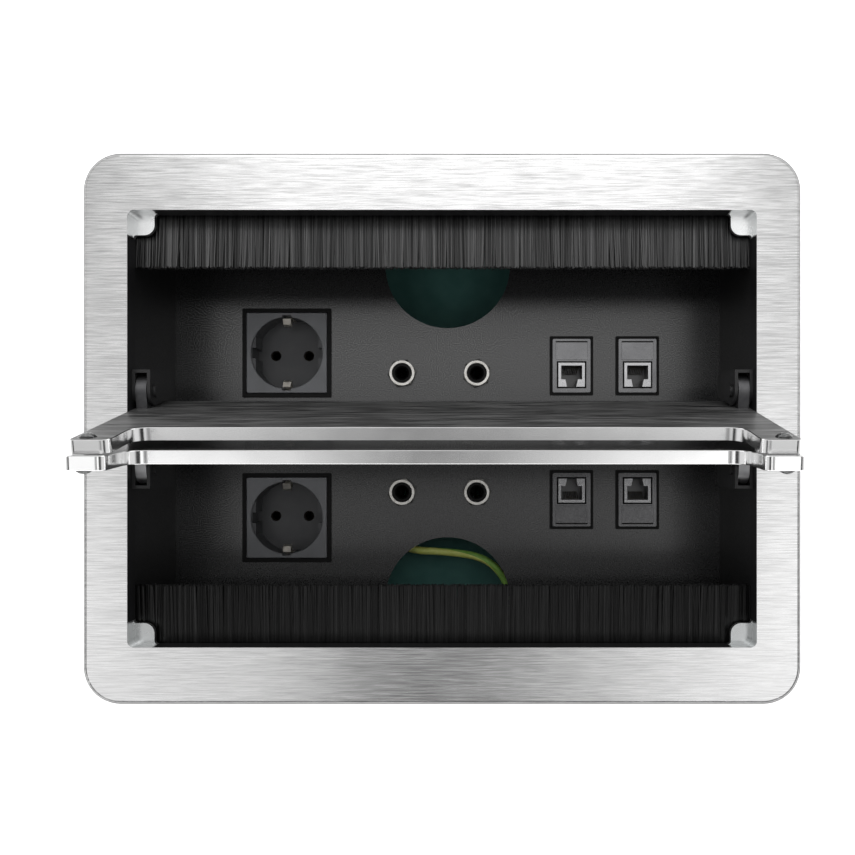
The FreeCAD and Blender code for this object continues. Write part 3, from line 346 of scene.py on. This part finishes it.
def nylon_bristle():
    """Black nylon whose shade and gloss change from bristle to bristle, with painted shade that lowers both on the
    near brush.
    """
    made = finish("bristle", ior=1.75)
    tone = add(made, "VertexColor")
    tone.layer_name = "tone"
    mottle = grain(made, cells=(3000, 300, 3000), detail=1.0)
    value = add(made, "SeparateColor", color=tone.outputs["Color"]).outputs["Red"]
    colour = shade(made, value, dark=(0.001, 0.001, 0.001), light=(0.008, 0.008, 0.009), start=0.0, end=1.0)
    drive(made, "base_color", colour)
    drive(made, "specular_ior_level", between(made, value, low=0.1, high=0.75, start=0.0, end=1.0))
    drive(made, "roughness", between(made, mottle, low=0.28, high=0.4))
    return made


def clear_rubber():
    made = finish("clear_rubber", transmission_weight=1.0, ior=1.43, base_color=(0.93, 0.95, 0.95, 1.0))
    drive(made, "roughness", between(made, grain(made, cells=700), low=0.03, high=0.12))
    return made


def insulation(name, dark, light):
    """Soft plastic of a wire, slightly uneven."""
    made = finish(name, specular_ior_level=0.5)
    skin = grain(made, cells=1400)
    drive(made, "base_color", shade(made, grain(made, cells=220), dark, light))
    drive(made, "roughness", between(made, skin, low=0.34, high=0.46))
    bump(made, skin, strength=0.2, distance=0.00003)
    return made


def pale_floor():
    made = finish("pale_floor", emission_color=(1.0, 1.0, 1.0, 1.0), emission_strength=floor_glow)
    clouds = grain(made, cells=3)
    drive(made, "base_color", shade(made, clouds, dark=(0.9, 0.9, 0.9), light=(0.93, 0.93, 0.93)))
    drive(made, "roughness", between(made, clouds, low=0.8, high=0.9))
    return made


# Finishes that differ only in their values, by kind
brushed = {
    "brushed_aluminium": dict(dark=0.58, light=0.9, rough=0.2),
    # Painted shade: the lids' top and underside are the bezel's brushed aluminium made darker, the underside much
    # darker; the brushed lines are real
    "lid_top_painted_shade": dict(dark=0.36, light=0.58, rough=0.22),
    "lid_underside_painted_shade": dict(dark=0.04, light=0.27, rough=0.42, cells=(36, 480)),
    # Painted shade: the bezel's rounded outer edge is its own aluminium made darker, for the dark it reflects
    "bezel_edge_painted_shade": dict(dark=0.16, light=0.26, rough=0.25),
}
blasted = {
    "hinge_aluminium": dict(dark=(0.1, 0.1, 0.105), light=(0.17, 0.17, 0.175)),
    # Painted light: the near hinge arms get a lighter copy of the arms' blasted aluminium
    "hinge_aluminium_painted_light": dict(dark=(0.5, 0.5, 0.51), light=(0.62, 0.62, 0.63)),
}
coated = {
    "black_steel": dict(dark=(0.012, 0.012, 0.013), light=(0.028, 0.028, 0.029), rough=0.42),
    "anthracite_steel": dict(
        dark=(0.01, 0.0102, 0.0106), light=(0.022, 0.0223, 0.0234), rough=0.29, ior=1.85
    ),
}
bright = {
    # Painted light and shade: the same milled lugs are made near white on the far side and grey on the near side,
    # for how light falls in the corners
    "far_lug": dict(dark=(0.92, 0.93, 0.93), light=(0.98, 0.99, 0.99), rough=0.24, cells=120),
    "near_lug": dict(dark=(0.44, 0.455, 0.46), light=(0.58, 0.59, 0.59), rough=0.24, cells=120),
    "milled_edge": dict(dark=(0.88, 0.88, 0.88), light=(0.95, 0.95, 0.95), rough=0.16, cells=60),
    "bright_steel": dict(dark=(0.5, 0.5, 0.5), light=(0.68, 0.68, 0.67), rough=0.32, cells=300),
    "dark_aluminium": dict(dark=(0.03, 0.03, 0.032), light=(0.06, 0.06, 0.062), rough=0.45, cells=200),
    "nickel": dict(dark=(0.92, 0.9, 0.86), light=(0.99, 0.97, 0.93), rough=0.55, cells=400),
    # Painted shade: the sides of the jack nuts, darker than their nickel tops
    "nickel_painted_shade": dict(dark=(0.2, 0.195, 0.18), light=(0.3, 0.295, 0.28), rough=0.4, cells=400),
    "satin_nickel": dict(dark=(0.86, 0.82, 0.74), light=(0.96, 0.92, 0.84), rough=0.5, cells=400),
    "brass": dict(dark=(0.1, 0.075, 0.035), light=(0.18, 0.13, 0.06), rough=0.42, cells=400),
    # Painted shade: the mains contacts, deep in the pin holes, as very dark brass
    "brass_painted_shade": dict(dark=(0.012, 0.01, 0.008), light=(0.025, 0.02, 0.015), rough=0.5, cells=400),
}
moulded = {
    "black_plastic": dict(dark=(0.002, 0.002, 0.002), light=(0.005, 0.005, 0.005), rough=0.5, ior=1.28),
    "grey_plastic": dict(dark=(0.185, 0.19, 0.2), light=(0.24, 0.245, 0.26), rough=0.42),
    # Painted shade: the recess of a mains socket is the face's grey plastic made darker
    "recess_painted_shade": dict(dark=(0.07, 0.071, 0.076), light=(0.095, 0.097, 0.102), rough=0.42),
    "mid_grey_plastic": dict(dark=(0.155, 0.155, 0.16), light=(0.2, 0.2, 0.205), rough=0.24, metallic=0.85),
    "light_grey_shell": dict(dark=(0.42, 0.42, 0.43), light=(0.54, 0.54, 0.55), rough=0.22, metallic=0.85),
    "label_grey": dict(dark=(0.16, 0.16, 0.165), light=(0.2, 0.2, 0.205), rough=0.22, metallic=0.85),
    # Painted shade: darker grey inside the port of a data jack
    "port_painted_shade": dict(dark=(0.06, 0.06, 0.062), light=(0.09, 0.09, 0.092), rough=0.34, ior=1.8),
}
insulating = {
    "earth_insulation": dict(dark=(0.8, 0.88, 0.2), light=(0.9, 0.96, 0.3)),
    "earth_green": dict(dark=(0.3, 0.62, 0.1), light=(0.4, 0.74, 0.16)),
}
kinds = (
    (brushed_aluminium, brushed),
    (blasted_aluminium, blasted),
    (coated_steel, coated),
    (bright_metal, bright),
    (moulded_plastic, moulded),
    (insulation, insulating),
)

finishes = {"opening_painted_shade": opening_painted_shade(), "bristle": nylon_bristle(), "clear_rubber": clear_rubber()}
for make, family in kinds:
    for name, values in family.items():
        finishes[name] = make(name, **values)

# Solids whose finish differs from the slot in the record, the near hinge arms with painted light and the mains
# contacts with painted shade
other_finishes = {
    "power_earth_clip_far": "satin_nickel",
    "power_earth_clip_near": "satin_nickel",
    "data_label_covers": "label_grey",
    "hinge_arm_near_left": "hinge_aluminium_painted_light",
    "hinge_arm_near_right": "hinge_aluminium_painted_light",
    "power_contacts_far": "brass_painted_shade",
    "power_contacts_near": "brass_painted_shade",
}

for part in frame["record"]["subparts"]:
    node = part["node"]
    mesh = nodes[node].data
    mesh.materials.clear()
    mesh.materials.append(finishes[other_finishes.get(node, part["material_slot"])])


def paint(node, name, chosen):
    """Give another finish to the faces of a solid that a test picks; most of these are painted light or painted
    shade.
    """
    mesh = nodes[node].data
    mesh.materials.append(finishes[name])
    for face in mesh.polygons:
        if chosen(face.center, face.normal):
            face.material_index = len(mesh.materials) - 1


def opening_wall(place, normal):
    along_x, along_y = (abs(place[axis]) < opening[axis] / 2 + opening_slack for axis in (0, 1))
    return along_x and along_y and abs(normal.z) < upright_cosine


def lug_face(side):
    """Test for the lugs in the corners of the opening on one side."""
    def chosen(place, normal):
        out = (abs(place.x) - opening[0] / 2, place.y * sides[side] - opening[1] / 2)
        return all(-lug_reach < past < opening_slack for past in out) and abs(normal.z) > upright_cosine

    return chosen


def outer_edge(place, normal):
    outside = any(abs(place[axis]) > opening[axis] / 2 + edge_distance for axis in (0, 1))
    lowest, highest = bezel_edge_cosines
    return outside and place.z > 0 and lowest < normal.z < highest


def inside_recess(node):
    """Test for the recess in the face of a mains socket."""
    low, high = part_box(node)
    middle = (low + high) / 2

    def chosen(place, normal):
        across = math.hypot(place.x - middle.x, place.y - middle.y)
        return across < recess_radius and place.z < high.z - recess_lip

    return chosen


def sunk(node, margin, lip, depth=math.inf):
    """Test for what is sunk into a solid's top, inside its outline by a margin and below its lip."""
    low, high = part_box(node)

    def chosen(place, normal):
        along_x = low.x + margin < place.x < high.x - margin
        along_y = low.y + margin < place.y < high.y - margin
        return along_x and along_y and high.z - depth < place.z < high.z - lip

    return chosen


def underside_of(side):
    """Direction that the underside of a lid faces, which stands open at rest."""
    joint = next(joint for joint in frame["joints"] if joint["child"] == f"{side}_lid")
    turn = math.radians(-joint["range_deg"][0])
    return Vector((0, sides[side] * math.sin(turn), -math.cos(turn)))


# Painted shade on the opening walls, the bezel's outer edge, the sides of the jack nuts, the mains recesses, the
# lids, the data ports and the grooves round the jacks; painted light and shade on the lugs
paint("bezel_frame", "opening_painted_shade", opening_wall)
paint("bezel_frame", "bezel_edge_painted_shade", outer_edge)
paint("jack_nuts", "nickel_painted_shade", lambda place, normal: abs(normal.z) < flat_cosine)
for side in sides:
    paint("bezel_frame", f"{side}_lug", lug_face(side))
    paint(f"power_face_{side}", "recess_painted_shade", inside_recess(f"power_face_{side}"))
    under = underside_of(side)
    paint(f"lid_{side}", "lid_underside_painted_shade", lambda place, normal: normal.dot(under) > flat_cosine)
    paint(f"lid_{side}", "lid_top_painted_shade", lambda place, normal: normal.dot(under) < -flat_cosine)
    paint(f"lid_{side}", "milled_edge", lambda place, normal: abs(normal.dot(under)) < lid_edge_cosine)
    for end in ends:
        jack = f"data_jack_{side}_{end}"
        plate = f"data_plate_{side}_{end}"
        paint(jack, "port_painted_shade", sunk(jack, port_wall, port_wall / 2, port_depth))
        # Painted shade: the groove round a jack is painted black
        paint(plate, "black_plastic", sunk(plate, plate_rim, plate_lip))


# Pieces

def new_piece(name, points, faces, body, slot, replaced):
    """Mesh piece that rides on a body and stands for a solid."""
    mesh = bpy.data.meshes.new(name)
    mesh.from_pydata(points, [], faces)
    mesh.update()
    piece = bpy.data.objects.new(name, mesh)
    bpy.context.scene.collection.objects.link(piece)
    mesh.materials.append(finishes[slot])
    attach(piece, body)
    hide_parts(replaced)
    return piece


def tufts(draw, start, end):
    """Tufts side by side from start to end: where each begins and ends, its pull, lean and shade."""
    found = []
    here = start
    while here < end:
        there = min(end, here + draw.uniform(*tuft_spacing))
        pull = draw.uniform(*tuft_pull)
        lean = draw.uniform(-tuft_lean, tuft_lean)
        found.append((here, there, pull, lean, draw.random()))
        here = there
    return found


def bristle_line(draw, tuft, x, z, spread, root, tip):
    """Middle line of one bristle from its root to its tip."""
    begin, end, pull, lean, _ = tuft
    drift = ((begin + end) / 2 - x) * pull + lean
    if draw.random() < stray_share:
        drift += draw.uniform(-stray_lean, stray_lean)
    wander = spread + draw.uniform(-bristle_width, bristle_width)
    last = tip + draw.uniform(-bristle_trim, bristle_trim)
    line = []
    for ring in range(bristle_rings):
        share = ring / (bristle_rings - 1)
        line.append((x + drift * share ** bristle_bend, root + (last - root) * share, z + wander * share))
    return line


def add_bristle(points, faces, line, roll):
    """Tapered rod round a line that runs along Y, turned by an angle from flat side up."""
    first = len(points)
    for ring, (x, y, z) in enumerate(line):
        radius = bristle_width / 2 * (1 - bristle_taper * ring / (bristle_rings - 1))
        for corner in range(bristle_sides):
            angle = roll - math.pi / 2 + corner * 2 * math.pi / bristle_sides
            points.append((x + radius * math.cos(angle), y, z + radius * math.sin(angle)))
    for ring in range(bristle_rings - 1):
        for corner in range(bristle_sides):
            a = first + bristle_sides * ring + corner
            b = first + bristle_sides * ring + (corner + 1) % bristle_sides
            faces.append((a, b, b + bristle_sides, a + bristle_sides))
    faces.append(tuple(reversed(range(first, first + bristle_sides))))
    faces.append(tuple(range(len(points) - bristle_sides, len(points))))


def brush(side):
    """Bristles in the room that their solid fills, in layers of tufts that part towards the tips."""
    draw = random.Random(f"brush {side}")
    name = f"brush_bristles_{side}"
    low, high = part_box(name)
    root, tip = (high.y, low.y) if sides[side] > 0 else (low.y, high.y)
    margin = bristle_width
    points = []
    faces = []
    tones = []
    for layer in range(bristle_layers):
        z = low.z + margin + (high.z - low.z - 2 * margin) * layer / (bristle_layers - 1)
        spread = (z - (low.z + high.z) / 2) * bristle_splay
        for tuft in tufts(draw, low.x + margin, high.x - margin):
            x, end, _, _, tuft_tone = tuft
            while x < end:
                line = bristle_line(draw, tuft, x, z, spread, root, tip)
                tone = tuft_tone_share * tuft_tone + (1 - tuft_tone_share) * draw.random()
                add_bristle(points, faces, line, draw.uniform(-bristle_roll, bristle_roll))
                # Painted shade: each bristle's tone is scaled by its brush's side
                tones += [tone * bristle_painted_shade[side]] * (bristle_sides * bristle_rings)
                x += bristle_spacing * draw.uniform(*bristle_spacing_range)
    piece = new_piece(f"brush_{side}", points, faces, "box", "bristle", name)
    colours = piece.data.color_attributes.new("tone", "FLOAT_COLOR", "POINT")
    colours.data.foreach_set("color", [part for tone in tones for part in (tone, tone, tone, 1.0)])


def smooth_line(route):
    """Points along a smooth spline with the route as its control points."""
    curve = bpy.data.curves.new("wire_line", "CURVE")
    curve.dimensions = "3D"
    spline = curve.splines.new("NURBS")
    spline.points.add(len(route) - 1)
    for point, place in zip(spline.points, route):
        point.co = (*place, 1.0)
    spline.order_u = wire_order
    spline.use_endpoint_u = True
    curve.resolution_u = wire_steps
    holder = bpy.data.objects.new("wire_line", curve)
    mesh = bpy.data.meshes.new_from_object(holder)
    line = [vertex.co.copy() for vertex in mesh.vertices]
    bpy.data.objects.remove(holder)
    bpy.data.meshes.remove(mesh)
    return line


def earth_wire():
    """Insulated wire with a green stripe that winds round it."""
    line = smooth_line(wire_route)
    points = []
    faces = []
    stripes = []
    across = None
    run = 0.0
    for index, place in enumerate(line):
        ahead = (line[min(index + 1, len(line) - 1)] - line[max(index - 1, 0)]).normalized()
        across = across or ahead.orthogonal()
        across = (across - ahead * across.dot(ahead)).normalized()
        other = ahead.cross(across)
        if index:
            run += (place - line[index - 1]).length
        twist = run * wire_turns_per_metre * 2 * math.pi
        for corner in range(wire_sides):
            angle = twist + corner * 2 * math.pi / wire_sides
            out = across * math.cos(angle) + other * math.sin(angle)
            points.append(place + out * (wire_diameter / 2))
    for ring in range(len(line) - 1):
        for corner in range(wire_sides):
            a = ring * wire_sides + corner
            b = ring * wire_sides + (corner + 1) % wire_sides
            faces.append((a, b, b + wire_sides, a + wire_sides))
            stripes.append(1 if corner < wire_stripe_sides else 0)
    faces.append(tuple(reversed(range(wire_sides))))
    faces.append(tuple(range(len(points) - wire_sides, len(points))))
    stripes += [0, 0]
    piece = new_piece("earth_wire_striped", points, faces, "box", "earth_insulation", "earth_wire")
    piece.data.materials.append(finishes["earth_green"])
    piece.data.polygons.foreach_set("material_index", stripes)
    piece.data.shade_smooth()


for side in sides:
    brush(side)
earth_wire()


# Stage, light and camera

def level_sheet(name, half_x, half_y, z, made):
    """Level sheet round the middle of the box that isn't part of the object."""
    corners = [(x * half_x, y * half_y, z) for x, y in ((-1, -1), (1, -1), (1, 1), (-1, 1))]
    mesh = bpy.data.meshes.new(name)
    mesh.from_pydata(corners, [], [(0, 1, 2, 3)])
    mesh.materials.append(made)
    sheet = bpy.data.objects.new(name, mesh)
    bpy.context.scene.collection.objects.link(sheet)


def floor():
    """Pale floor that the box stands on, and the dark mat inside the rim of the box."""
    low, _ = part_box("socket_panel")
    dark_mat = moulded_plastic("mat", dark=(0.07, 0.22, 0.2), light=(0.11, 0.3, 0.27), rough=0.7)
    level_sheet("floor", floor_half, floor_half, cad_low.z, pale_floor())
    level_sheet("mat", abs(low.x), abs(low.y), cad_low.z + mat_thickness, dark_mat)


def profile(world, value, stops):
    """Number that runs through pairs of a place from -1 to 1 and a value up to 1."""
    node = add(world, "ValToRGB")
    node.color_ramp.interpolation = "EASE"
    elements = node.color_ramp.elements
    while len(elements) < len(stops):
        elements.new(position=0.5)
    for element, (place, number) in zip(elements, stops):
        element.position = (place + 1) / 2
        element.color = (number, number, number, 1.0)
    shifted = between(world, value, low=0.0, high=1.0, start=-1.0, end=1.0)
    world.node_tree.links.new(shifted, node.inputs["Fac"])
    return node.outputs["Color"]


def sky():
    """White dome with softboxes and flags in it, over a plain surround."""
    world = bpy.data.worlds.new("studio")
    world.use_nodes = True
    ground = world.node_tree.nodes["Background"]
    ground.inputs["Color"].default_value = (1.0, 1.0, 1.0, 1.0)
    split = add(world, "SeparateXYZ", vector=add(world, "TexCoord").outputs["Generated"])

    def patch(along_x, along_y, outside, inside):
        x = profile(world, split.outputs["X"], along_x)
        y = profile(world, split.outputs["Y"], along_y)
        return between(world, combine(world, "MULTIPLY", x, y), outside, inside, start=0.0, end=1.0)

    strength = patch(sky_along_x, sky_along_y, outside=0.0, inside=1.0)
    for gain, along_x, along_y in (far_softbox, top_softbox):
        glow = patch(along_x, along_y, outside=0.0, inside=gain)
        strength = combine(world, "ADD", strength, glow)
    for depth, along_x, along_y in (near_flag, top_flag, side_flags):
        shadow = patch(along_x, along_y, outside=1.0, inside=1.0 - depth)
        strength = combine(world, "MULTIPLY", strength, shadow)
    strength = between(world, strength, 0.0, sky_limit * sky_strength, start=0.0, end=sky_limit)
    overhead = between(world, split.outputs["Z"], 0.0, 1.0, *surround_height)
    around = between(world, overhead, surround, 0.0, start=0.0, end=1.0)
    strength = combine(world, "ADD", combine(world, "MULTIPLY", strength, overhead), around)
    world.node_tree.links.new(strength, ground.inputs["Strength"])
    bpy.context.scene.world = world


def camera():
    """Camera that looks straight down, with the photograph's framing from its shift."""
    lens = bpy.data.cameras.new("camera")
    lens.sensor_width = sensor_width
    lens.lens = sensor_width * focal_pixels / picture_side
    lens.shift_x = (picture_side / 2 - plumb_pixel[0]) / picture_side
    lens.shift_y = (plumb_pixel[1] - picture_side / 2) / picture_side
    lens.clip_start = clip_start
    made = bpy.data.objects.new("camera", lens)
    made.location = camera_place
    bpy.context.scene.collection.objects.link(made)
    bpy.context.scene.camera = made


floor()
sky()
camera()
bpy.context.scene.view_settings.view_transform = "Standard"
